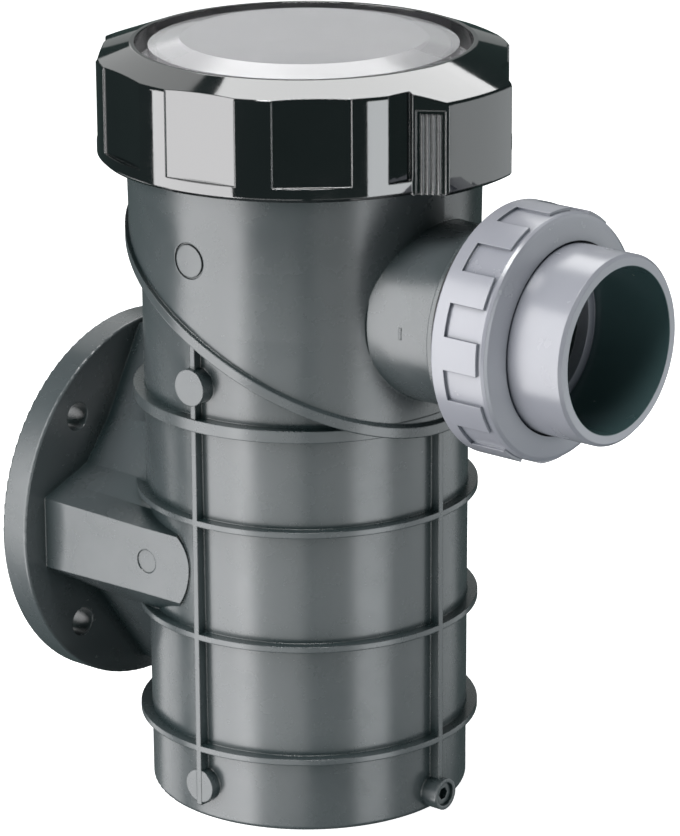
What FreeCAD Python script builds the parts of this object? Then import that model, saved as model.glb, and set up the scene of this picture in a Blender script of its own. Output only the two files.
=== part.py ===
"""Sea water strainer: moulded tank with a flanged outlet, a union inlet and a screwed clear lid.

Frame: +Z up along the tank's axis, origin at the centre of the foot.
The inlet union points along +X, high up. The outlet flange faces -X, low down.
"""
import FreeCAD
import Part
import math
import os

V = FreeCAD.Vector

# ---- driving dimensions, millimetres -------------------------------------------------------
# Tank: a lower outlet chamber, and a wider inlet chamber above a slanted partition
tank_height = 338.0            # foot to sealing rim
wall = 5.0
foot_draft = 1.4                 # the tank tapers in by this to its foot
lower_radius = 75.4            # outlet chamber, outside, at its top
upper_radius = 80.0            # inlet chamber, outside, at the partition
shoulder_radius = 81.2         # inlet chamber, outside, under the lid thread
foot_round = 2.0
foot_recess = 0.8
foot_land = 12.0               # width of the ring the tank stands on
foot_pad_radius = 18.0         # pad in the middle, level with that ring

# Slanted partition that carries the basket
seat_drop = 5.9                # top face on the tank's axis, under the inlet's axis
seat_slope = 0.553             # fall towards the inlet, mm per mm
seat_thickness = 5.0
seat_opening_radius = 61.0
seat_rib_radius = 82.4

# Lid thread on the neck
neck_step = 3.8                # thread root over the chamber's outside
neck_length = 30.0
neck_flare = 6.0

# Ribs
ring_rib_count = 3
ring_rib_first = 35.9
ring_rib_pitch = 54.95
ring_rib_thickness = 2.8
rib_proud = 4.0
belt_rib_drop = 44.2           # under the seat, on the axis
belt_rib_thickness = 5.6
belt_rib_proud = 4.8
fin_thickness = 2.8
fin_foot = 8.0

# Bosses and moulded marks
disc_boss_radius = 8.5
disc_boss_drop = 26.1          # under the seat, on the axis
disc_boss_proud = 6.4
foot_boss_radius = 8.0
foot_boss_height = 17.2
foot_boss_proud = 5.2
mark_radius = 8.4
mark_width = 0.9
mark_depth = 0.6
chamber_mark_rise = 26.8       # over the inlet's axis
duct_mark_radius = 5.6
duct_mark_offset = 41.4        # from the tank's lower wall line

# Inlet stub and the union on it
inlet_drop = 20.1              # top of the stub, under the ring's skirt
inlet_bore_radius = 33.0
stub_wall = 8.5
stub_length = 33.3             # from the tank's lower wall line to the collar
collar_step = 6.1              # thread root over the stub
collar_length = 22.3
pipe_bore_radius = 37.5        # takes a 75 mm pipe
pipe_wall = 5.3
pipe_socket_depth = 41.0
union_ledge = 6.0
union_flange_gap = 1.2         # inside the nut
union_flange_thickness = 7.5
union_end_round = 1.4

# Union nut
nut_overlap = 13.0             # how far it reaches back over the collar
nut_wall = 8.0
nut_thread_clearance = 1.7
nut_step = 1.4                 # the low level lies this far under the pads
nut_band = 7.5                 # plain band at the back
nut_pad_length = 17.8
nut_front_length = 3.6
nut_nose = 2.6
nut_pad_count = 12
nut_pad_phase = 2.5
nut_chamfer = 1.2
nut_front_round = 2.2
nut_opening_clearance = 0.9

# Outlet duct and flange
outlet_height = 118.5
outlet_bore_radius = 35.0
duct_length = 22.1             # from the tank's lower wall line to the flange
flange_thickness = 14.5
flange_rim = 16.5              # outside the bolt circle
flange_round = 1.0
bolt_circle_radius = 72.5
bolt_hole_radius = 7.0
bolt_count = 4
duct_side_proud = 0.4          # of the flat sides, over the tank's side at the outlet's height
duct_side_height = 34.0
duct_side_end = 8.0            # the flat sides stop this far from the tank's mid-plane
duct_side_round = 17.5         # upper corner of their ends
duct_keel_round = 30.0         # lower corner
duct_cove_inset = 13.9         # the shoulder bends here, from the flat side in
duct_shoulder_inset = 29.4     # at the flange: from the flat side in to the shoulder
duct_shoulder_rise = 10.0
duct_roof_inset = 15.5
duct_roof_rise = 18.5
duct_keel_inset = 36.5
duct_keel_drop = 21.8
duct_tank_side_height = 32.0   # the same where the duct meets the tank
duct_tank_cove_rise = 3.5
duct_tank_inset = 20.9
duct_tank_shoulder_rise = 14.5
duct_tank_roof_rise = 29.5
duct_tank_keel_drop = 12.3
duct_tank_keel_inset = 11.4
duct_tank_depth = 37.7         # how far inside the lower wall line the duct ends
duct_throat = 10.0             # solid behind the flange before the duct widens
gusset_half_width = 7.0
gusset_flange_land = 2.5       # flange left above the upper gusset
gusset_rise = 11.0             # upper gusset at the tank, over the flange's top
keel_land = 7.0

# Screwed lid ring
ring_wall = 7.4                # skirt, outside the thread
ring_skirt_drop = 33.8         # skirt's lower edge, under the sealing rim
ring_lip_width = 1.9
ring_lip_rise = 10.4           # over the lid's flange
ring_crown_slope = 0.365
ring_lid_gap = 6.3             # round the lid's raised middle
ring_thread_clearance = 1.9
ring_edge_round = 1.6
lug_count = 2
lug_proud = 10.5
lug_half_angle = 12.1
lug_root_half_angle = 19.2
lug_phase = -0.8
panel_count = 5
panel_pitch = 31.6
panel_angle = 21.3
panel_first = 38.1             # first panel's centre, from the lug's centre
panel_depth = 0.7              # of the flat floor, at its two sides
panel_land = 6.5               # plain band below the panels
grip_width = 13.0
grip_depth = 1.6
grip_rib_count = 4
grip_rib_pitch = 2.5
grip_rib_radius = 0.75
grip_land = 3.6

# Clear lid
lid_flange_inset = 0.7         # inside the thread's root
lid_flange_thickness = 7.0
lid_boss_inset = 5.8           # raised middle, inside the tank's bore
lid_boss_rise = 9.0            # over the lid's flange
lid_bevel_width = 14.4
lid_bevel_rise = 3.2
lid_crown_rise = 1.0
lid_thickness = 5.0
lid_spigot = 5.0
lid_spigot_width = 4.6
lid_spigot_clearance = 0.5

# Seals: cord radius and the cord's own circle
lid_seal_cord = 2.4
union_seal_cord = 2.0
drain_seal_cord = 0.8
seal_gap = 0.05                # between a cord and the faces around it

# How far a solid runs into the one it is fused with, or a cut runs past a face
overlap = 0.5

# Basket
basket_clearance = 3.5         # inside the partition's opening
basket_wall = 2.5
basket_lift = 25.0             # over the tank's floor
basket_rim_clearance = 3.0     # inside the inlet chamber
basket_rim_thickness = 3.0
slot_columns = 20
slot_edge = 6.0                # least wall between the slots and the rim
slot_width = 6.0
slot_height = 34.0
slot_bar = 7.0
slot_first = 10.0
floor_slot_count = 8
floor_slot_inner = 14.0
floor_slot_edge = 11.5         # from a slot's end to the basket's outside

# Bail handle
bail_inset = 7.5               # from the basket's outside
bail_wire = 2.5
bail_pivot = 10.0              # over the seat height
bail_pin_length = 9.0
bail_clearance = 0.08
ear_thickness = 5.0
ear_half_width = 6.0
ear_gap = 0.6

# Drain
drain_height = 8.8
drain_boss_radius = 7.5
drain_boss_proud = 8.2
drain_hole_radius = 5.6
drain_port_radius = 3.4
drain_plug_length = 11.5
drain_plug_recess = 1.4
drain_plug_clearance = 0.08
drain_hex_radius = 3.0
drain_hex_depth = 5.0

# ---- derived sizes -------------------------------------------------------------------------
REACH = 2 * tank_height
tank_floor = wall
ring_bottom = tank_height - ring_skirt_drop
stub_radius = inlet_bore_radius + stub_wall
inlet_height = ring_bottom - inlet_drop - stub_radius
seat_height = inlet_height - seat_drop
belt_rib_height = seat_height - belt_rib_drop
disc_boss_height = seat_height - disc_boss_drop
chamber_mark_height = inlet_height + chamber_mark_rise
upper_bore_radius = upper_radius - wall
rim_bore_radius = shoulder_radius - wall
neck_radius = shoulder_radius + neck_step
thread_bore_radius = neck_radius + ring_thread_clearance
lid_flange_top = tank_height + lid_flange_thickness
lid_flange_radius = neck_radius - lid_flange_inset
lid_boss_radius = rim_bore_radius - lid_boss_inset
lid_seal_radius = (rim_bore_radius + neck_radius) / 2
ring_skirt_radius = thread_bore_radius + ring_wall
ring_opening_radius = lid_boss_radius + ring_lid_gap
ring_lip_radius = ring_opening_radius + ring_lip_width
ring_lip_height = lid_flange_top + ring_lip_rise
lug_radius = ring_skirt_radius + lug_proud
collar_radius = stub_radius + collar_step
collar_start = lower_radius + stub_length
seat_face = collar_start + collar_length
union_seal_radius = (inlet_bore_radius + collar_radius) / 2 + union_seal_cord / 2
union_shoulder = seat_face + union_flange_thickness
pipe_outer_radius = pipe_bore_radius + pipe_wall
pipe_end = seat_face + union_ledge + pipe_socket_depth
nut_back = seat_face - nut_overlap
nut_bore_radius = collar_radius + nut_thread_clearance
nut_radius = nut_bore_radius + nut_wall
nut_pad_end = nut_back + nut_band + nut_pad_length
nut_front = nut_pad_end + nut_front_length
union_flange_radius = nut_bore_radius - union_flange_gap
flange_radius = bolt_circle_radius + flange_rim
flange_back = lower_radius + duct_length
flange_face = flange_back + flange_thickness
foot_radius = lower_radius - foot_draft
lower_taper = foot_draft / (seat_height + seat_slope * lower_radius)
duct_half_width = foot_radius + lower_taper * outlet_height + duct_side_proud
basket_radius = seat_opening_radius - basket_clearance
basket_bottom = tank_floor + basket_lift
basket_rim_radius = upper_bore_radius - basket_rim_clearance
floor_slot_outer = basket_radius - floor_slot_edge
bail_radius = basket_radius - bail_inset
drain_face = foot_radius + drain_boss_proud
drain_seat = drain_face - drain_plug_recess - drain_plug_length - 2 * (drain_seal_cord + seal_gap)


def seat_z(x, offset=0.0):
    """Height of the partition's top face at x, plus an offset."""
    return seat_height + offset - seat_slope * x


def revolve_z(points):
    """Solid of revolution about Z from (radius, height) points."""
    wire = Part.makePolygon([V(r, 0, z) for r, z in points + points[:1]])
    return Part.Face(wire).revolve(V(0, 0, 0), V(0, 0, 1), 360)


def revolve_x(points, height):
    """Solid of revolution about the X line at a height, from (x, radius) points."""
    wire = Part.makePolygon([V(x, 0, height + r) for x, r in points + points[:1]])
    return Part.Face(wire).revolve(V(0, 0, height), V(1, 0, 0), 360)


def cylinder_x(radius, x_from, x_to, height, y=0.0):
    return Part.makeCylinder(radius, x_to - x_from, V(x_from, y, height), V(1, 0, 0))


def ring_z(outer, inner, z_from, z_to):
    return revolve_z([(inner, z_from), (outer, z_from), (outer, z_to), (inner, z_to)])


def above_seat(offset):
    """Everything above the slanted plane of the partition, moved up by an offset."""
    corners = [
        V(-REACH, -REACH, seat_z(-REACH, offset)),
        V(REACH, -REACH, seat_z(REACH, offset)),
        V(REACH, -REACH, REACH * 2),
        V(-REACH, -REACH, REACH * 2),
    ]
    face = Part.Face(Part.makePolygon(corners + corners[:1]))
    return face.extrude(V(0, 2 * REACH, 0))


def seat_slab(radius, low, high):
    """Disc of the partition's slope between two offsets, cut round in plan."""
    column = Part.makeCylinder(radius, REACH, V(0, 0, 0))
    return column.common(above_seat(low)).cut(above_seat(high))


def box(x0, x1, y0, y1, z0, z1):
    return Part.makeBox(x1 - x0, y1 - y0, z1 - z0, V(x0, y0, z0))


def turned(shape, degrees, centre=V(0, 0, 0), axis=V(0, 0, 1)):
    copy = shape.copy()
    copy.rotate(centre, axis, degrees)
    return copy


def fuse_all(shapes):
    return shapes[0].multiFuse(shapes[1:]).removeSplitter()


def horizontal_edges(shape, z, radius=None):
    """Circular edges that lie at a height, and have a radius where one is given."""
    found = []
    for edge in shape.Edges:
        box_ = edge.BoundBox
        flat = abs(box_.ZMin - z) < 0.01 and abs(box_.ZMax - z) < 0.01
        if flat and (radius is None or abs(box_.XMax - radius) < 0.01):
            found.append(edge)
    return found


# ---- tank ----------------------------------------------------------------------------------
def lower_chamber():
    cone = Part.makeCone(foot_radius, lower_radius, seat_z(-lower_radius))
    cone = cone.makeFillet(foot_round, horizontal_edges(cone, 0.0))
    return cone.cut(above_seat(0))


def upper_chamber():
    low = seat_z(upper_radius, -seat_thickness) - wall
    top = tank_height - neck_length
    shell = revolve_z([
        (0, low),
        (upper_radius, low),
        (upper_radius, seat_height),
        (shoulder_radius, top - neck_flare),
        (neck_radius, top),
        (neck_radius, tank_height),
        (0, tank_height),
    ])
    return shell.common(above_seat(-seat_thickness))


def ring_ribs():
    ribs = []
    for row in range(ring_rib_count):
        z = ring_rib_first + row * ring_rib_pitch
        outer = lower_radius + rib_proud
        ribs.append(ring_z(outer, foot_radius - wall / 2,
                           z - ring_rib_thickness / 2, z + ring_rib_thickness / 2))
    belt = ring_z(lower_radius + belt_rib_proud, foot_radius - wall / 2,
                  belt_rib_height - belt_rib_thickness / 2, belt_rib_height + belt_rib_thickness / 2)
    return ribs + [belt]


def fins():
    """Upright fins at the sides and under the inlet, up to the slanted rib."""
    shapes = []
    outer = lower_radius + rib_proud
    for angle in (-90, 0, 90):
        fin = box(foot_radius - wall / 2, outer, -fin_thickness / 2, fin_thickness / 2,
                  fin_foot, seat_z(-outer))
        shapes.append(turned(fin, angle).cut(above_seat(-seat_thickness / 2)))
    return shapes


def side_bosses():
    disc = Part.makeCylinder(disc_boss_radius, disc_boss_proud + wall / 2,
                             V(0, -lower_radius + wall / 2, disc_boss_height), V(0, -1, 0))
    foot = Part.makeCylinder(foot_boss_radius, foot_boss_proud + wall / 2,
                             V(0, -foot_radius + wall / 2, foot_boss_height), V(0, -1, 0))
    drain = cylinder_x(drain_boss_radius, foot_radius - wall, drain_face, drain_height)
    return [disc, foot, drain]


def mirrored_wire(x, half):
    """Closed wire across the duct from its right side, (y, z) from top to bottom."""
    right = [V(x, y, outlet_height + z) for y, z in half]
    left = [V(x, -y, outlet_height + z) for y, z in reversed(half)]
    return Part.makePolygon(right + left + right[:1])


def duct_sides(at_tank):
    """Right side of the duct's box, from roof to keel, at the flange or at the tank."""
    width = duct_half_width
    if at_tank:
        side = duct_tank_side_height / 2
        shoulder = side + duct_tank_shoulder_rise
        return [(width - duct_tank_inset, shoulder + duct_tank_roof_rise), (width - duct_tank_inset, shoulder),
                (width - duct_cove_inset, side + duct_tank_cove_rise), (width, side),
                (width, -side), (width - duct_tank_keel_inset, -side - duct_tank_keel_drop)]
    side = duct_side_height / 2
    shoulder_y = width - duct_shoulder_inset
    shoulder = side + duct_shoulder_rise
    cove_rise = duct_shoulder_rise * duct_cove_inset / duct_shoulder_inset
    return [(shoulder_y - duct_roof_inset, shoulder + duct_roof_rise), (shoulder_y, shoulder),
            (width - duct_cove_inset, side + cove_rise), (width, side),
            (width, -side), (width - duct_keel_inset, -side - duct_keel_drop)]


def duct_cheeks():
    """Flat sides carried on along the tank, rounded where they end."""
    half = duct_sides(True)[2:]
    outline = Part.Face(mirrored_wire(-duct_tank_depth, half))
    cheeks = outline.extrude(V(duct_tank_depth - duct_side_end, 0, 0))
    top = outlet_height + half[0][1]
    bottom = outlet_height + half[-1][1]
    ends_at = box(-flange_back, -duct_side_end, -duct_half_width, duct_half_width, bottom, top)
    for radius, z in ((duct_side_round, top), (duct_keel_round, bottom)):
        ends = [e for e in ends_at.Edges
                if abs(e.BoundBox.XMin + duct_side_end) < 0.01 and abs(e.BoundBox.ZMin - z) < 0.01
                and abs(e.BoundBox.ZMax - z) < 0.01]
        ends_at = ends_at.makeFillet(radius, ends)
    return cheeks.common(ends_at)


def outlet_duct():
    """Box duct with sloping shoulders, an upper gusset to the flange's top and a keel below."""
    top = flange_radius - gusset_flange_land
    crest = [(gusset_half_width, top)]
    tank_crest = [(gusset_half_width, flange_radius + gusset_rise)]
    foot = [(gusset_half_width, -flange_radius + keel_land)]
    at_flange = mirrored_wire(-flange_back - overlap, crest + duct_sides(False) + foot)
    at_tank = mirrored_wire(-duct_tank_depth, tank_crest + duct_sides(True) + foot)
    return [Part.makeLoft([at_flange, at_tank], True, True), duct_cheeks()]


def duct_cavity():
    """Hollow of the duct's box, one wall inside its outline."""
    at_flange = mirrored_wire(-flange_back + duct_throat, duct_sides(False)).makeOffset2D(-wall, 2)
    at_tank = mirrored_wire(-duct_tank_depth, duct_sides(True)).makeOffset2D(-wall, 2)
    return Part.makeLoft([at_flange, at_tank], True, True)


def outlet_flange():
    disc = cylinder_x(flange_radius, -flange_face, -flange_face + flange_thickness, outlet_height)
    rims = [e for e in disc.Edges if e.BoundBox.XLength < 0.01]
    return disc.makeFillet(flange_round, rims)


def bolt_holes():
    holes = []
    for index in range(bolt_count):
        angle = math.radians(360.0 / bolt_count * (index + 0.5))
        y = bolt_circle_radius * math.cos(angle)
        z = outlet_height + bolt_circle_radius * math.sin(angle)
        holes.append(cylinder_x(bolt_hole_radius, -flange_face - overlap,
                                -flange_face + flange_thickness + overlap, z, y))
    return holes


def inlet_stub():
    stub = cylinder_x(stub_radius, upper_bore_radius - wall, collar_start + overlap, inlet_height)
    collar = cylinder_x(collar_radius, collar_start, seat_face, inlet_height)
    return [stub, collar]


def seal_groove_x(radius, cord, face):
    """Groove for a seal in a face that looks along +X."""
    half = cord + 2 * seal_gap
    depth = 2 * cord + seal_gap
    outer = cylinder_x(radius + half, face - depth, face + overlap, inlet_height)
    return outer.cut(cylinder_x(radius - half, face - depth, face + overlap, inlet_height))


def tank_bores():
    lower = Part.makeCone(foot_radius - wall, lower_radius - wall, seat_z(-lower_radius) - tank_floor,
                          V(0, 0, tank_floor)).cut(above_seat(-seat_thickness))
    opening = Part.makeCylinder(seat_opening_radius, tank_height - tank_floor - wall, V(0, 0, tank_floor + wall))
    upper = revolve_z([
        (0, wall),
        (upper_bore_radius, wall),
        (upper_bore_radius, seat_height),
        (rim_bore_radius, tank_height - neck_length),
        (rim_bore_radius, tank_height + overlap),
        (0, tank_height + overlap),
    ]).common(above_seat(0))
    inlet = cylinder_x(inlet_bore_radius, upper_bore_radius - 4 * wall, seat_face + overlap, inlet_height)
    outlet = cylinder_x(outlet_bore_radius, -flange_face - overlap, -flange_back + duct_throat, outlet_height)
    port = cylinder_x(drain_port_radius, foot_radius - 3 * wall, drain_seat + overlap, drain_height)
    drain = cylinder_x(drain_hole_radius, drain_seat, drain_face + overlap, drain_height)
    half = lid_seal_cord + 2 * seal_gap
    lid_groove = ring_z(lid_seal_radius + half, lid_seal_radius - half,
                        tank_height - 2 * lid_seal_cord - seal_gap, tank_height + overlap)
    under = ring_z(foot_radius - foot_land, foot_pad_radius, -overlap, foot_recess)
    return [lower, opening, upper, inlet, outlet, port, drain, lid_groove, under,
            seal_groove_x(union_seal_radius, union_seal_cord, seat_face)]


def moulded_marks():
    """Thin ring lines where inserts close the mould: on the inlet chamber and on the duct."""
    marks = []
    chamber = Part.makeCylinder(mark_radius, REACH, V(0, 0, chamber_mark_height), V(0, -1, 0))
    core = Part.makeCylinder(mark_radius - mark_width, REACH, V(0, 0, chamber_mark_height), V(0, -1, 0))
    shell = ring_z(shoulder_radius + overlap, upper_radius - mark_depth,
                   chamber_mark_height - 2 * mark_radius, chamber_mark_height + 2 * mark_radius)
    marks.append(chamber.cut(core).common(shell))
    low = Part.makeCylinder(duct_mark_radius, 2 * mark_depth,
                            V(duct_mark_offset - lower_radius, -duct_half_width + mark_depth, outlet_height),
                            V(0, -1, 0))
    marks.append(low)
    return marks


def strainer_body():
    outside = [lower_chamber(), upper_chamber()]
    outside.append(seat_slab(seat_rib_radius, -seat_thickness, 0))
    outside += ring_ribs() + fins() + side_bosses() + outlet_duct() + [outlet_flange()] + inlet_stub()
    body = fuse_all(outside)
    hollow = tank_bores() + [duct_cavity()] + bolt_holes() + moulded_marks()
    return body.cut(Part.makeCompound(hollow)).removeSplitter()


# ---- lid -----------------------------------------------------------------------------------
def clear_lid():
    base = tank_height
    shoulder = lid_flange_top + lid_boss_rise
    crown = shoulder + lid_bevel_rise
    inner_top = crown - lid_thickness
    lid_crown_radius = lid_boss_radius - lid_bevel_width
    spigot = rim_bore_radius - lid_spigot_clearance
    inner = spigot - lid_spigot_width
    outline = [
        Part.makeLine(V(lid_crown_radius, 0, crown), V(lid_boss_radius, 0, shoulder)),
        Part.makeLine(V(lid_boss_radius, 0, shoulder), V(lid_boss_radius, 0, lid_flange_top)),
        Part.makeLine(V(lid_boss_radius, 0, lid_flange_top), V(lid_flange_radius, 0, lid_flange_top)),
        Part.makeLine(V(lid_flange_radius, 0, lid_flange_top), V(lid_flange_radius, 0, base)),
        Part.makeLine(V(lid_flange_radius, 0, base), V(spigot, 0, base)),
        Part.makeLine(V(spigot, 0, base), V(spigot, 0, base - lid_spigot)),
        Part.makeLine(V(spigot, 0, base - lid_spigot), V(inner, 0, base - lid_spigot)),
        Part.makeLine(V(inner, 0, base - lid_spigot), V(lid_boss_radius - lid_thickness, 0, lid_flange_top)),
        Part.makeLine(V(lid_boss_radius - lid_thickness, 0, lid_flange_top),
                      V(lid_boss_radius - lid_thickness, 0, shoulder - lid_thickness)),
        Part.makeLine(V(lid_boss_radius - lid_thickness, 0, shoulder - lid_thickness),
                      V(lid_crown_radius, 0, inner_top)),
        Part.makeLine(V(lid_crown_radius, 0, inner_top), V(0, 0, inner_top + lid_crown_rise)),
        Part.makeLine(V(0, 0, inner_top + lid_crown_rise), V(0, 0, crown + lid_crown_rise)),
    ]
    quarter = V(lid_crown_radius / 2, 0, crown + 0.75 * lid_crown_rise)
    top = Part.Arc(V(0, 0, crown + lid_crown_rise), quarter, V(lid_crown_radius, 0, crown)).toShape()
    face = Part.Face(Part.Wire(Part.__sortEdges__(outline + [top])))
    return face.revolve(V(0, 0, 0), V(0, 0, 1), 360)


def ring_crown_z(radius):
    """Height of the ring's sloping top at a radius."""
    return ring_lip_height - ring_crown_slope * (radius - ring_lip_radius)


def ring_blank(radius):
    """Outside of the lid ring, solid, out to a radius."""
    return revolve_z([
        (0, ring_bottom),
        (radius - ring_edge_round, ring_bottom),
        (radius, ring_bottom + ring_edge_round),
        (radius, ring_crown_z(radius) - ring_edge_round / 2),
        (radius - ring_edge_round / 2, ring_crown_z(radius - ring_edge_round / 2)),
        (ring_lip_radius, ring_lip_height),
        (0, ring_lip_height),
    ])


def polar(radius, degrees, z=0.0):
    angle = math.radians(degrees)
    return V(radius * math.cos(angle), radius * math.sin(angle), z)


def lug_plan():
    """Plan of one lug, centred on +X, as an upright prism through the whole ring."""
    root = ring_skirt_radius
    corners = [
        polar(root * 0.9, -lug_root_half_angle),
        polar(root, -lug_root_half_angle),
        polar(lug_radius, -lug_half_angle),
        polar(lug_radius * 1.1, -lug_half_angle),
        polar(lug_radius * 1.1, lug_half_angle),
        polar(lug_radius, lug_half_angle),
        polar(root, lug_root_half_angle),
        polar(root * 0.9, lug_root_half_angle),
    ]
    prism = Part.Face(Part.makePolygon(corners + corners[:1])).extrude(V(0, 0, 2 * tank_height))
    return prism


def grip_recess():
    """Recess in the lug's leading flank, with upright grip ribs left standing in it."""
    start = polar(ring_skirt_radius, -lug_root_half_angle)
    end = polar(lug_radius, -lug_half_angle)
    inward = (start - end).normalize()
    out = V(-inward.y, inward.x, 0)
    low = ring_bottom - overlap
    high = ring_crown_z(lug_radius) - grip_land
    pocket = Part.makeBox(grip_width, 2 * grip_depth, high - low, V(-grip_width / 2, -grip_depth, 0))
    ribs = []
    for index in range(grip_rib_count):
        x = (index - (grip_rib_count - 1) / 2) * grip_rib_pitch
        ribs.append(Part.makeCylinder(grip_rib_radius, high - low - grip_land / 2, V(x, -grip_depth, 0)))
    recess = pocket.cut(Part.makeCompound(ribs))
    recess.Placement = FreeCAD.Placement((start + end) * 0.5 + V(0, 0, low),
                                         FreeCAD.Rotation(inward, out, V(0, 0, 1), "XYZ"))
    return recess


def ring_panels():
    """Flat sunk panels round the skirt between two lugs, open at the top."""
    low = ring_bottom + panel_land
    half = math.radians(panel_angle / 2)
    floor = ring_skirt_radius * math.cos(half) - panel_depth
    side = ring_skirt_radius * math.sin(half)
    panel = box(floor, lug_radius, -side, side, low, ring_lip_height)
    return [turned(panel, panel_first + index * panel_pitch) for index in range(panel_count)]


def lid_ring():
    lug = ring_blank(lug_radius).common(lug_plan())
    lugs = []
    panels = []
    recesses = []
    for index in range(lug_count):
        angle = lug_phase + index * 360.0 / lug_count
        lugs.append(turned(lug, angle))
        recesses.append(turned(grip_recess(), angle))
        panels += [turned(panel, angle) for panel in ring_panels()]
    skirt = ring_blank(ring_skirt_radius).cut(Part.makeCompound(panels))
    outside = fuse_all([skirt] + lugs).cut(Part.makeCompound(recesses))
    bore = Part.makeCylinder(thread_bore_radius, lid_flange_top - ring_bottom + overlap,
                             V(0, 0, ring_bottom - overlap))
    opening = Part.makeCylinder(ring_opening_radius, tank_height, V(0, 0, lid_flange_top - overlap))
    return outside.cut(bore).cut(opening).removeSplitter()


def lid_o_ring():
    return Part.makeTorus(lid_seal_radius, lid_seal_cord, V(0, 0, tank_height - lid_seal_cord - seal_gap / 2))


# ---- union ---------------------------------------------------------------------------------
def union_end():
    pipe = revolve_x([
        (seat_face, inlet_bore_radius),
        (seat_face, union_flange_radius),
        (union_shoulder, union_flange_radius),
        (union_shoulder, pipe_outer_radius),
        (pipe_end - union_end_round, pipe_outer_radius),
        (pipe_end, pipe_outer_radius - union_end_round),
        (pipe_end, pipe_bore_radius),
        (pipe_end - pipe_socket_depth, pipe_bore_radius),
        (pipe_end - pipe_socket_depth, inlet_bore_radius),
    ], inlet_height)
    return pipe


def union_nut():
    low = nut_radius - nut_step
    opening = pipe_outer_radius + nut_opening_clearance
    core = revolve_x([
        (nut_back, nut_bore_radius),
        (nut_back, nut_radius - nut_chamfer),
        (nut_back + nut_chamfer, nut_radius),
        (nut_back + nut_band, nut_radius),
        (nut_back + nut_band, low),
        (nut_front - nut_front_round, low),
        (nut_front - nut_front_round * 0.3, low - nut_front_round * 0.3),
        (nut_front, low - nut_front_round),
        (nut_front + nut_nose, opening),
        (union_shoulder, opening),
        (union_shoulder, nut_bore_radius),
    ], inlet_height)
    pad_ring = revolve_x([
        (nut_back + nut_band - overlap, low - overlap),
        (nut_back + nut_band - overlap, nut_radius),
        (nut_pad_end, nut_radius),
        (nut_pad_end, low - overlap),
    ], inlet_height)
    half = 360.0 / nut_pad_count / 4
    reach = 2 * nut_radius
    centre = V(nut_back, 0, inlet_height)
    corners = [centre,
               centre + V(0, -reach * math.cos(math.radians(half)), -reach * math.sin(math.radians(half))),
               centre + V(0, -reach * math.cos(math.radians(half)), reach * math.sin(math.radians(half)))]
    wedge = Part.Face(Part.makePolygon(corners + corners[:1])).extrude(V(nut_pad_end - nut_back + overlap, 0, 0))
    pads = []
    for index in range(nut_pad_count):
        angle = nut_pad_phase + index * 360.0 / nut_pad_count
        pads.append(turned(wedge, -angle, centre, V(1, 0, 0)).common(pad_ring))
    return fuse_all([core] + pads)


def union_o_ring():
    return Part.makeTorus(union_seal_radius, union_seal_cord,
                          V(seat_face - union_seal_cord - seal_gap / 2, 0, inlet_height), V(1, 0, 0))


# ---- basket --------------------------------------------------------------------------------
def basket_slots():
    cuts = []
    room = seat_z(basket_radius) - slot_edge - basket_bottom - slot_first
    slot_rows = int((room + slot_bar) / (slot_height + slot_bar))
    for row in range(slot_rows):
        z = basket_bottom + slot_first + row * (slot_height + slot_bar)
        bar = box(0, basket_radius + overlap, -slot_width / 2, slot_width / 2, z, z + slot_height)
        bar = bar.cut(Part.makeCylinder(basket_radius / 2, 2 * tank_height))
        for column in range(slot_columns):
            cuts.append(turned(bar, (column + 0.5) * 360.0 / slot_columns))
    slit = box(floor_slot_inner, floor_slot_outer, -slot_width / 2, slot_width / 2,
               basket_bottom - overlap, basket_bottom + basket_wall + overlap)
    for index in range(floor_slot_count):
        cuts.append(turned(slit, index * 360.0 / floor_slot_count))
    return cuts


def basket_ears():
    """Two ears on the rim that hold the bail's pins."""
    ears = []
    pivot = seat_height + bail_pivot
    inner = bail_radius + bail_wire + ear_gap
    for side in (-1, 1):
        y0, y1 = sorted((side * inner, side * (inner + ear_thickness)))
        foot = box(-ear_half_width, ear_half_width, y0, y1, seat_height - ear_half_width, pivot)
        top = Part.makeCylinder(ear_half_width, ear_thickness, V(0, y0, pivot), V(0, 1, 0))
        hole = Part.makeCylinder(bail_wire + bail_clearance, ear_thickness + 2 * overlap,
                                 V(0, y0 - overlap, pivot), V(0, 1, 0))
        ears.append(foot.fuse(top).cut(hole))
    return ears


def strainer_basket():
    tube = Part.makeCylinder(basket_radius, 2 * tank_height, V(0, 0, basket_bottom))
    tube = tube.cut(above_seat(basket_rim_thickness))
    hollow = Part.makeCylinder(basket_radius - basket_wall, 2 * tank_height, V(0, 0, basket_bottom + basket_wall))
    rim = seat_slab(basket_rim_radius, 0, basket_rim_thickness)
    shell = tube.fuse(rim).cut(hollow)
    shell = shell.cut(Part.makeCompound(basket_slots()))
    return fuse_all([shell] + basket_ears())


def basket_handle():
    """Bail: half hoop of wire with a pin at each end, turned outwards into the ears."""
    pivot = seat_height + bail_pivot
    hoop = Part.makeTorus(bail_radius, bail_wire, V(0, 0, pivot), V(1, 0, 0))
    hoop = hoop.common(box(-REACH, REACH, -REACH, REACH, pivot, 2 * REACH))
    parts = [hoop]
    for side in (-1, 1):
        start = V(0, side * (bail_radius - bail_wire), pivot)
        length = bail_wire + bail_pin_length
        parts.append(Part.makeCylinder(bail_wire, length, start, V(0, side, 0)))
    return fuse_all(parts)


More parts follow.
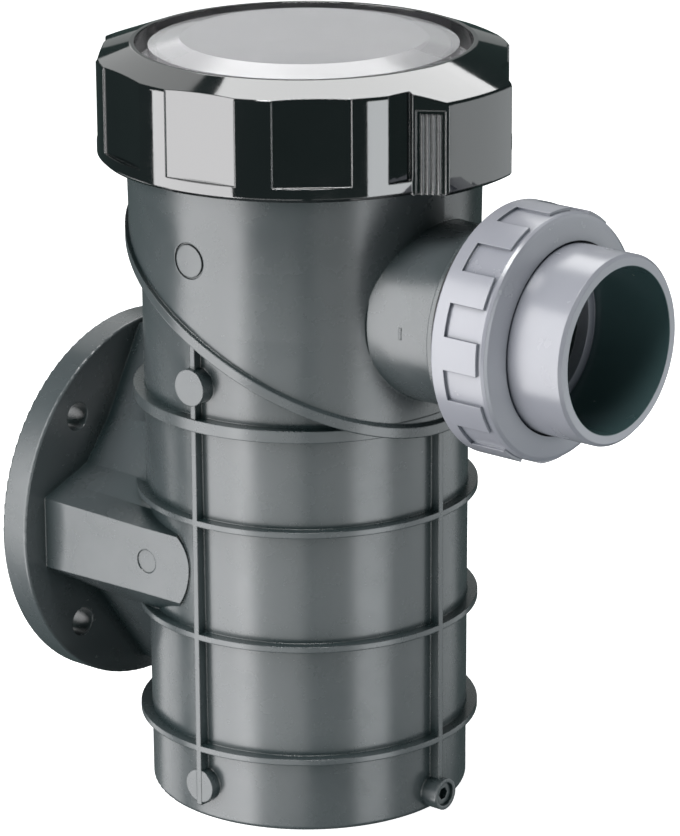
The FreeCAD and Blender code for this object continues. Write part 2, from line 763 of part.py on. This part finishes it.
# ---- drain ---------------------------------------------------------------------------------
def drain_plug():
    tip = drain_face - drain_plug_recess - drain_plug_length
    plug = cylinder_x(drain_hole_radius - drain_plug_clearance, tip, drain_face - drain_plug_recess, drain_height)
    corners = []
    for index in range(6):
        angle = math.radians(60 * index)
        corners.append(V(tip + drain_plug_length - drain_hex_depth,
                         drain_hex_radius * math.cos(angle),
                         drain_height + drain_hex_radius * math.sin(angle)))
    key = Part.Face(Part.makePolygon(corners + corners[:1])).extrude(V(drain_hex_depth + overlap, 0, 0))
    return plug.cut(key)


def drain_o_ring():
    centre = drain_seat + seal_gap + drain_seal_cord
    radius = drain_hole_radius - drain_seal_cord - seal_gap
    return Part.makeTorus(radius, drain_seal_cord, V(centre, 0, drain_height), V(1, 0, 0))


NODES = {
    "strainer_body": strainer_body,
    "clear_lid": clear_lid,
    "lid_ring": lid_ring,
    "lid_o_ring": lid_o_ring,
    "union_end": union_end,
    "union_nut": union_nut,
    "union_o_ring": union_o_ring,
    "strainer_basket": strainer_basket,
    "basket_handle": basket_handle,
    "drain_plug": drain_plug,
    "drain_o_ring": drain_o_ring,
}

os.makedirs("parts", exist_ok=True)
for name, make in NODES.items():
    shape = make()
    print(name, "valid", shape.isValid(), "solids", len(shape.Solids), "volume", round(shape.Volume))
    shape.exportStep("parts/" + name + ".step")
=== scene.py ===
import math

import bpy
from mathutils import Matrix, Vector


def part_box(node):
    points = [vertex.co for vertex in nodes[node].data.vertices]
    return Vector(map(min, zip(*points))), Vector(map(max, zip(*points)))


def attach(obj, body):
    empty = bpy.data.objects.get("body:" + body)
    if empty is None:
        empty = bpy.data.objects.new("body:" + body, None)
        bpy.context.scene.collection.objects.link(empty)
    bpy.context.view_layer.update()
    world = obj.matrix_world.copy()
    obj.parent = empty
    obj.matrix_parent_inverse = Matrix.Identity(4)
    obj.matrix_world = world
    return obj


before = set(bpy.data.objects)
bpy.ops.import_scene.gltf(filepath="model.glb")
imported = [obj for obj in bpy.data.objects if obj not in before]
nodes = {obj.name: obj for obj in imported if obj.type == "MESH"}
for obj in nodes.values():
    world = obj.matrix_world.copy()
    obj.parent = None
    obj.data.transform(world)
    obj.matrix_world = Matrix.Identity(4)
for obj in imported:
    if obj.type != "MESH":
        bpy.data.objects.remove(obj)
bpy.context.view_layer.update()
scene = bpy.context.scene

# ---- places taken from the solids at rest, metres ------------------------------------------
nut_low, nut_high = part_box("union_nut")
end_low, end_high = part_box("union_end")
body_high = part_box("strainer_body")[1]
INLET_Z = (nut_low.z + nut_high.z) / 2
COLLAR_FACE = end_low.x         # end of the tank's inlet collar, where the pipe end meets it
PIPE_MOUTH = end_high.x
NECK_TOP = body_high.z

# ---- camera: a long lens from the front right, above the lid -------------------------------
CAM_AT = Vector((1.25542, -1.48603, 0.81064))
CAM_YAW = math.radians(-39.74)
CAM_PITCH = math.radians(18.08)
CAM_ROLL = math.radians(-0.347)
CAM_LENS = 233.7
CAM_SENSOR = 36.0


def make_camera():
    forward = Vector((math.sin(CAM_YAW) * math.cos(CAM_PITCH),
                      math.cos(CAM_YAW) * math.cos(CAM_PITCH),
                      -math.sin(CAM_PITCH)))
    right = Vector((math.cos(CAM_YAW), -math.sin(CAM_YAW), 0))
    up = right.cross(forward)
    rolled_right = right * math.cos(CAM_ROLL) + up * math.sin(CAM_ROLL)
    rolled_up = up * math.cos(CAM_ROLL) - right * math.sin(CAM_ROLL)
    data = bpy.data.cameras.new("camera")
    data.sensor_fit = "HORIZONTAL"
    data.sensor_width = CAM_SENSOR
    data.lens = CAM_LENS
    camera = bpy.data.objects.new("camera", data)
    scene.collection.objects.link(camera)
    turn = Matrix((rolled_right, rolled_up, -forward)).transposed().to_4x4()
    camera.matrix_world = Matrix.Translation(CAM_AT) @ turn
    scene.camera = camera


# ---- materials: lengths are in metres, noise scales in cells per metre ---------------------
CLOUD_SCALE = 9.0               # slow drift of a moulding's colour
CLOUD_STOPS = (0.3, 0.7)
GLOSS_SCALE = 60.0              # patches of more and of less gloss
GRAIN_STRENGTH = 0.35
OCCLUSION_RANGE = (0.45, 0.95)  # occlusion that counts as closed in, and as open, for the painted crevice shade
OCCLUSION_SAMPLES = 8
BEVEL_SAMPLES = 6
# Painted shade: the union's socket bore is coloured dark teal where shade falls inside it.
BORE_SHADE_TINT = (0.070, 0.125, 0.130)
BORE_EDGE = 0.0002              # half the width of the step into the bore's painted shade
SOCKET_DEPTH = 0.0405
SOCKET_RADIUS = 0.0377          # just over the socket's wall, so that the wall is inside it


class Nodes:
    """Makes a material, and adds and links its shader nodes."""

    def __init__(self, name):
        self.mat = bpy.data.materials.new(name)
        self.mat.use_nodes = True
        self.tree = self.mat.node_tree
        self.tree.nodes.clear()
        self.out = self.add("ShaderNodeOutputMaterial")
        self.bsdf = self.add("ShaderNodeBsdfPrincipled")
        self.link(self.bsdf.outputs[0], self.out.inputs[0])

    def add(self, kind, **props):
        node = self.tree.nodes.new(kind)
        for key, value in props.items():
            setattr(node, key, value)
        return node

    def link(self, a, b):
        self.tree.links.new(a, b)

    def coords(self):
        if not hasattr(self, "_coords"):
            self._coords = self.add("ShaderNodeTexCoord").outputs["Object"]
        return self._coords

    def noise(self, scale, detail=3.0, rough=0.5):
        node = self.add("ShaderNodeTexNoise")
        node.inputs["Scale"].default_value = scale
        node.inputs["Detail"].default_value = detail
        node.inputs["Roughness"].default_value = rough
        self.link(self.coords(), node.inputs["Vector"])
        return node.outputs["Fac"]

    def clouds(self, fac, dark, light):
        """Colour that drifts from dark to light with fac."""
        node = self.add("ShaderNodeValToRGB")
        for element, at, colour in zip(node.color_ramp.elements, CLOUD_STOPS, (dark, light)):
            element.position = at
            element.color = (*colour, 1.0)
        self.link(fac, node.inputs["Fac"])
        return node.outputs["Color"]

    def grey(self, fac, low, high, at_low=0.3, at_high=0.7):
        """Value that goes from low to high as fac goes from at_low to at_high."""
        node = self.add("ShaderNodeMapRange")
        node.inputs["From Min"].default_value = at_low
        node.inputs["From Max"].default_value = at_high
        node.inputs["To Min"].default_value = low
        node.inputs["To Max"].default_value = high
        self.link(fac, node.inputs["Value"])
        return node.outputs["Result"]

    def mix(self, factor, a, b, blend="MIX"):
        """Socket a towards the fixed colour b."""
        node = self.add("ShaderNodeMix", data_type="RGBA", blend_type=blend)
        self.link(factor, node.inputs["Factor"])
        self.link(a, node.inputs["A"])
        node.inputs["B"].default_value = (*b, 1)
        return node.outputs["Result"]

    def painted_bore_shade(self, colour, height, radius, start):
        """The colour, but painted dark teal as shade inside a bore along X at a height, from start
        on.
        """
        across = self.add("ShaderNodeVectorMath", operation="MULTIPLY_ADD")
        across.inputs[1].default_value = (0, 1, 1)
        across.inputs[2].default_value = (0, 0, -height)
        self.link(self.coords(), across.inputs[0])
        length = self.add("ShaderNodeVectorMath", operation="LENGTH")
        self.link(across.outputs["Vector"], length.inputs[0])
        inside = self.grey(length.outputs["Value"], 1.0, 0.0,
                           radius - BORE_EDGE, radius + BORE_EDGE)
        along = self.add("ShaderNodeSeparateXYZ")
        self.link(self.coords(), along.inputs[0])
        deep = self.grey(along.outputs["X"], 0.0, 1.0, start - BORE_EDGE, start + BORE_EDGE)
        bore_shade_mask = self.add("ShaderNodeMath", operation="MULTIPLY")
        self.link(inside, bore_shade_mask.inputs[0])
        self.link(deep, bore_shade_mask.inputs[1])
        return self.mix(bore_shade_mask.outputs[0], colour, BORE_SHADE_TINT)

    def painted_crevice_shade(self, colour, distance, tint):
        """The colour times a tint, as painted shade, where another face stands near."""
        node = self.add("ShaderNodeAmbientOcclusion", samples=OCCLUSION_SAMPLES)
        node.inputs["Distance"].default_value = distance
        painted_shade = self.grey(node.outputs["AO"], 1.0, 0.0, *OCCLUSION_RANGE)
        return self.mix(painted_shade, colour, tint, "MULTIPLY")

    def bump(self, height, strength, distance, bevel=0.0):
        """Surface relief, on edges that look rounded where a bevel is given."""
        node = self.add("ShaderNodeBump")
        node.inputs["Strength"].default_value = strength
        node.inputs["Distance"].default_value = distance
        self.link(height, node.inputs["Height"])
        if bevel:
            soft = self.add("ShaderNodeBevel", samples=BEVEL_SAMPLES)
            soft.inputs["Radius"].default_value = bevel
            self.link(soft.outputs["Normal"], node.inputs["Normal"])
        self.link(node.outputs["Normal"], self.bsdf.inputs["Normal"])


def moulded(name, dark, light, rough, grain, grain_depth, bevel, ior=1.5, crevice=None, bore=None):
    """Moulded plastic: clouded colour, uneven gloss, a fine grain and softened edges.

    crevice is the reach and tint of painted shade in its corners; bore is the height, radius
    and start of a bore along X that is painted dark teal as shade.
    """
    m = Nodes(name)
    colour = m.clouds(m.noise(CLOUD_SCALE, 4.0, 0.55), dark, light)
    if bore:
        colour = m.painted_bore_shade(colour, *bore)
    if crevice:
        colour = m.painted_crevice_shade(colour, *crevice)
    m.link(colour, m.bsdf.inputs["Base Color"])
    m.link(m.grey(m.noise(GLOSS_SCALE, 5.0, 0.6), *rough), m.bsdf.inputs["Roughness"])
    m.bsdf.inputs["IOR"].default_value = ior
    m.bump(m.noise(grain, 2.0, 0.5), GRAIN_STRENGTH, grain_depth, bevel)
    return m.mat


def clear_plastic():
    """Clear plastic with a faint, uneven frost."""
    m = Nodes("clear_plastic")
    m.bsdf.inputs["Base Color"].default_value = (0.88, 0.87, 0.89, 1)
    m.bsdf.inputs["Transmission Weight"].default_value = 0.68
    m.bsdf.inputs["IOR"].default_value = 1.45
    m.link(m.grey(m.noise(35.0, 4.0), 0.10, 0.22), m.bsdf.inputs["Roughness"])
    m.bump(m.noise(240.0), 0.2, 0.00005)
    return m.mat


def rubber():
    # Black seal rubber for the o-rings; the collar's thread wears it too, as painted shade.
    m = Nodes("seal_rubber_and_thread_shade")
    colour = m.clouds(m.noise(80.0), (0.012, 0.012, 0.012), (0.022, 0.022, 0.021))
    m.link(colour, m.bsdf.inputs["Base Color"])
    m.bsdf.inputs["Roughness"].default_value = 0.62
    m.bump(m.noise(1500.0), 0.3, 0.00003)
    return m.mat


def steel():
    m = Nodes("stainless_wire")
    colour = m.clouds(m.noise(50.0), (0.60, 0.61, 0.62), (0.74, 0.75, 0.75))
    m.link(colour, m.bsdf.inputs["Base Color"])
    m.bsdf.inputs["Metallic"].default_value = 1.0
    m.link(m.grey(m.noise(400.0), 0.2, 0.34), m.bsdf.inputs["Roughness"])
    m.bump(m.noise(900.0), 0.15, 0.00002)
    return m.mat


# The tank's crevice tint is painted shade: teal darkening beside its ribs, fins and bosses.
tank_grey = moulded("tank_plastic", dark=(0.052, 0.063, 0.066), light=(0.066, 0.077, 0.081),
                    rough=(0.23, 0.30), grain=1400.0, grain_depth=0.00005, bevel=0.0008,
                    ior=1.80, crevice=(0.012, (0.25, 0.38, 0.38)))
ring_black = moulded("ring_plastic", dark=(0.003, 0.0035, 0.004), light=(0.006, 0.007, 0.0075),
                     rough=(0.04, 0.08), grain=500.0, grain_depth=0.00001, bevel=0.0009,
                     ior=2.3)
# The union's crevice tint is painted shade in its corners.
union_grey = moulded("union_plastic", dark=(0.270, 0.275, 0.310), light=(0.310, 0.315, 0.350),
                     rough=(0.22, 0.28), grain=300.0, grain_depth=0.000005, bevel=0.0006,
                     ior=1.75, crevice=(0.006, (0.35, 0.38, 0.42)),
                     # the bore is painted dark teal as shade inside the socket
                     bore=(INLET_Z, SOCKET_RADIUS, PIPE_MOUTH - SOCKET_DEPTH))
basket_grey = moulded("basket_plastic", dark=(0.50, 0.52, 0.52), light=(0.58, 0.60, 0.60),
                      rough=(0.35, 0.5), grain=800.0, grain_depth=0.00004, bevel=0.0005)
lid_clear = clear_plastic()
seal_black_and_thread_shade = rubber()
handle_steel = steel()

LOOKS = {
    "strainer_body": tank_grey,
    "drain_plug": tank_grey,
    "lid_ring": ring_black,
    "clear_lid": lid_clear,
    "union_end": union_grey,
    "union_nut": union_grey,
    "strainer_basket": basket_grey,
    "basket_handle": handle_steel,
    "lid_o_ring": seal_black_and_thread_shade,
    "union_o_ring": seal_black_and_thread_shade,
    "drain_o_ring": seal_black_and_thread_shade,
}
for name, look in LOOKS.items():
    data = nodes[name].data
    data.materials.clear()
    data.materials.append(look)


# ---- threads and a moulded mark that the solids leave out ----------------------------------
THREAD_MARGIN = 0.0015          # plain end of the collar and of the neck
RIDGE = ((0, 0.08), (1, 0.20), (1, 0.32), (0, 0.44))    # share of the height, share of the pitch
RIDGE_ROOM = 0.5                # share of the pitch that the ridge takes at its end
FADE_STEPS = 12                 # steps over which a ridge rises and dies away

COLLAR_ROOT = 0.0475
COLLAR_CREST = 0.0490
COLLAR_PITCH = 0.005
COLLAR_THREAD = 0.0207
NECK_ROOT = 0.0849
NECK_CREST = 0.0863
NECK_PITCH = 0.010
NECK_THREAD = 0.0290
NECK_STEPS = 96

MARK_X = (COLLAR_FACE - 0.0426, COLLAR_FACE - 0.0413)
MARK_Y = (-0.0410, -0.04165)    # from inside the stub's wall to just proud of it
MARK_Z = (INLET_Z - 0.0021, INLET_Z + 0.0034)
BOX_SIDES = ((0, 1, 3, 2), (4, 6, 7, 5), (0, 4, 5, 1), (2, 3, 7, 6), (0, 2, 6, 4), (1, 5, 7, 3))


def add_piece(name, verts, faces, look):
    """A piece that rides the housing, with the material it is given."""
    mesh = bpy.data.meshes.new(name)
    mesh.from_pydata(verts, [], faces)
    mesh.materials.append(look)
    obj = bpy.data.objects.new(name, mesh)
    scene.collection.objects.link(obj)
    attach(obj, "housing")


def thread(root, crest, pitch, start, end, point, per_turn=72):
    """Vertices and faces of a helical ridge; point(radius, angle, along) places each one."""
    row = len(RIDGE)
    turns = (end - start) / pitch - RIDGE_ROOM
    steps = int(per_turn * turns)
    verts, faces = [], []
    for i in range(steps + 1):
        angle = 2 * math.pi * i / per_turn
        along = start + pitch * i / per_turn
        fade = min(1.0, i / FADE_STEPS, (steps - i) / FADE_STEPS)
        for rise, shift in RIDGE:
            radius = root + (crest - root) * fade * rise
            verts.append(point(radius, angle, along + pitch * shift))
        if i:
            a, b = row * (i - 1), row * i
            for k in range(row - 1):
                faces.append((a + k, b + k, b + k + 1, a + k + 1))
            faces.append((a + row - 1, b + row - 1, b, a))
    faces.append(tuple(range(row)))
    faces.append(tuple(reversed(range(row * steps, row * steps + row))))
    return verts, faces


def around_inlet(radius, angle, x):
    return x, radius * math.cos(angle), INLET_Z + radius * math.sin(angle)


def around_tank(radius, angle, z):
    return radius * math.cos(angle), radius * math.sin(angle), z


def small_details():
    collar_end = COLLAR_FACE - THREAD_MARGIN
    collar = thread(COLLAR_ROOT, COLLAR_CREST, COLLAR_PITCH,
                    collar_end - COLLAR_THREAD, collar_end, around_inlet)
    # The collar's thread is coloured seal black as painted shade: it stands for the shadow between
    # the nut and the stub.
    add_piece("collar_thread", *collar, seal_black_and_thread_shade)
    neck_end = NECK_TOP - THREAD_MARGIN
    neck = thread(NECK_ROOT, NECK_CREST, NECK_PITCH,
                  neck_end - NECK_THREAD, neck_end, around_tank, NECK_STEPS)
    add_piece("neck_thread", *neck, tank_grey)
    mark = [(x, y, z) for x in MARK_X for y in MARK_Y for z in MARK_Z]
    add_piece("stub_mark", mark, BOX_SIDES, tank_grey)


small_details()


# ---- studio --------------------------------------------------------------------------------
FLOOR_HALF = 40.0
FLOOR_GLOW = 0.97
ROOM_COLOUR = (0.60, 0.95, 0.90, 1)
ROOM_STRENGTH = 0.06
WHITE = (1, 1, 1)
ROSY = (1.0, 0.99, 1.0)
COOL = (0.95, 0.98, 1.0)
SOFTBOXES = (                   # name, place, aim, width, height, watts, colour
    ("key_left", (-0.263, -0.717, 0.18), (0.123, -0.074, 0.18), 0.70, 1.5, 11.8, ROSY),
    ("overhead", (0.216, -0.375, 1.53), (0, 0, 0.2), 0.6, 0.5, 14.5, WHITE),
    ("right_panel", (0.8, -0.07, 0.0), (0, 0, 0.0), 0.35, 0.7, 2.2, COOL),
    ("back_right", (0.60, 0.67, 0.25), (0, 0, 0.25), 0.80, 0.7, 1.7, COOL),
    ("back_right_low", (0.62, 0.64, -0.19), (0, 0, -0.15), 1.2, 0.34, 1.2, COOL),
    ("left_low", (-0.75, -0.15, -0.23), (0, 0, -0.15), 0.4, 0.32, 0.7, ROSY),
    ("low_front", (0.12, -0.45, -0.03), (0, 0, 0.06), 0.4, 0.3, 0.5, WHITE),
    ("low_right", (0.60, -0.35, -0.03), (0, 0, 0.06), 0.4, 0.3, 0.3, WHITE),
    ("top_back", (-0.435, 0.648, 1.32), (0, 0, 0.33), 0.7, 0.82, 5.9, WHITE),
    ("back_roof", (-0.66, 0.79, 0.50), (0, 0, 0.25), 0.55, 0.35, 0.2, WHITE),
    ("back_left", (-0.92, 0.50, 0.95), (0, 0, 0.33), 0.6, 0.7, 1.1, WHITE),
)


def make_floor():
    """White ground that the camera sees, and that neither lights nor mirrors in the strainer."""
    half = FLOOR_HALF
    corners = [(-half, -half, 0), (half, -half, 0), (half, half, 0), (-half, half, 0)]
    mesh = bpy.data.meshes.new("floor")
    mesh.from_pydata(corners, [], [(0, 1, 2, 3)])
    floor = bpy.data.objects.new("floor", mesh)
    scene.collection.objects.link(floor)
    paper = bpy.data.materials.new("floor_paper")
    paper.use_nodes = True
    bsdf = paper.node_tree.nodes["Principled BSDF"]
    bsdf.inputs["Base Color"].default_value = (0.88, 0.88, 0.88, 1)
    bsdf.inputs["Roughness"].default_value = 0.9
    bsdf.inputs["Emission Color"].default_value = (1, 1, 1, 1)
    bsdf.inputs["Emission Strength"].default_value = FLOOR_GLOW
    floor.data.materials.append(paper)
    floor.visible_glossy = False
    floor.visible_diffuse = False
    floor.visible_shadow = False


def softbox(name, place, aim, width, height, watts, colour):
    light = bpy.data.lights.new(name, "AREA")
    light.shape = "RECTANGLE"
    light.size = width
    light.size_y = height
    light.energy = watts
    light.color = colour
    obj = bpy.data.objects.new(name, light)
    scene.collection.objects.link(obj)
    obj.visible_camera = False
    obj.location = place
    obj.rotation_euler = (Vector(aim) - Vector(place)).to_track_quat("-Z", "Y").to_euler()


def make_world():
    world = bpy.data.worlds.new("studio")
    world.use_nodes = True
    background = world.node_tree.nodes["Background"]
    background.inputs["Color"].default_value = ROOM_COLOUR
    background.inputs["Strength"].default_value = ROOM_STRENGTH
    scene.world = world
    scene.view_settings.view_transform = "Standard"


make_camera()
make_floor()
for box in SOFTBOXES:
    softbox(*box)
make_world()
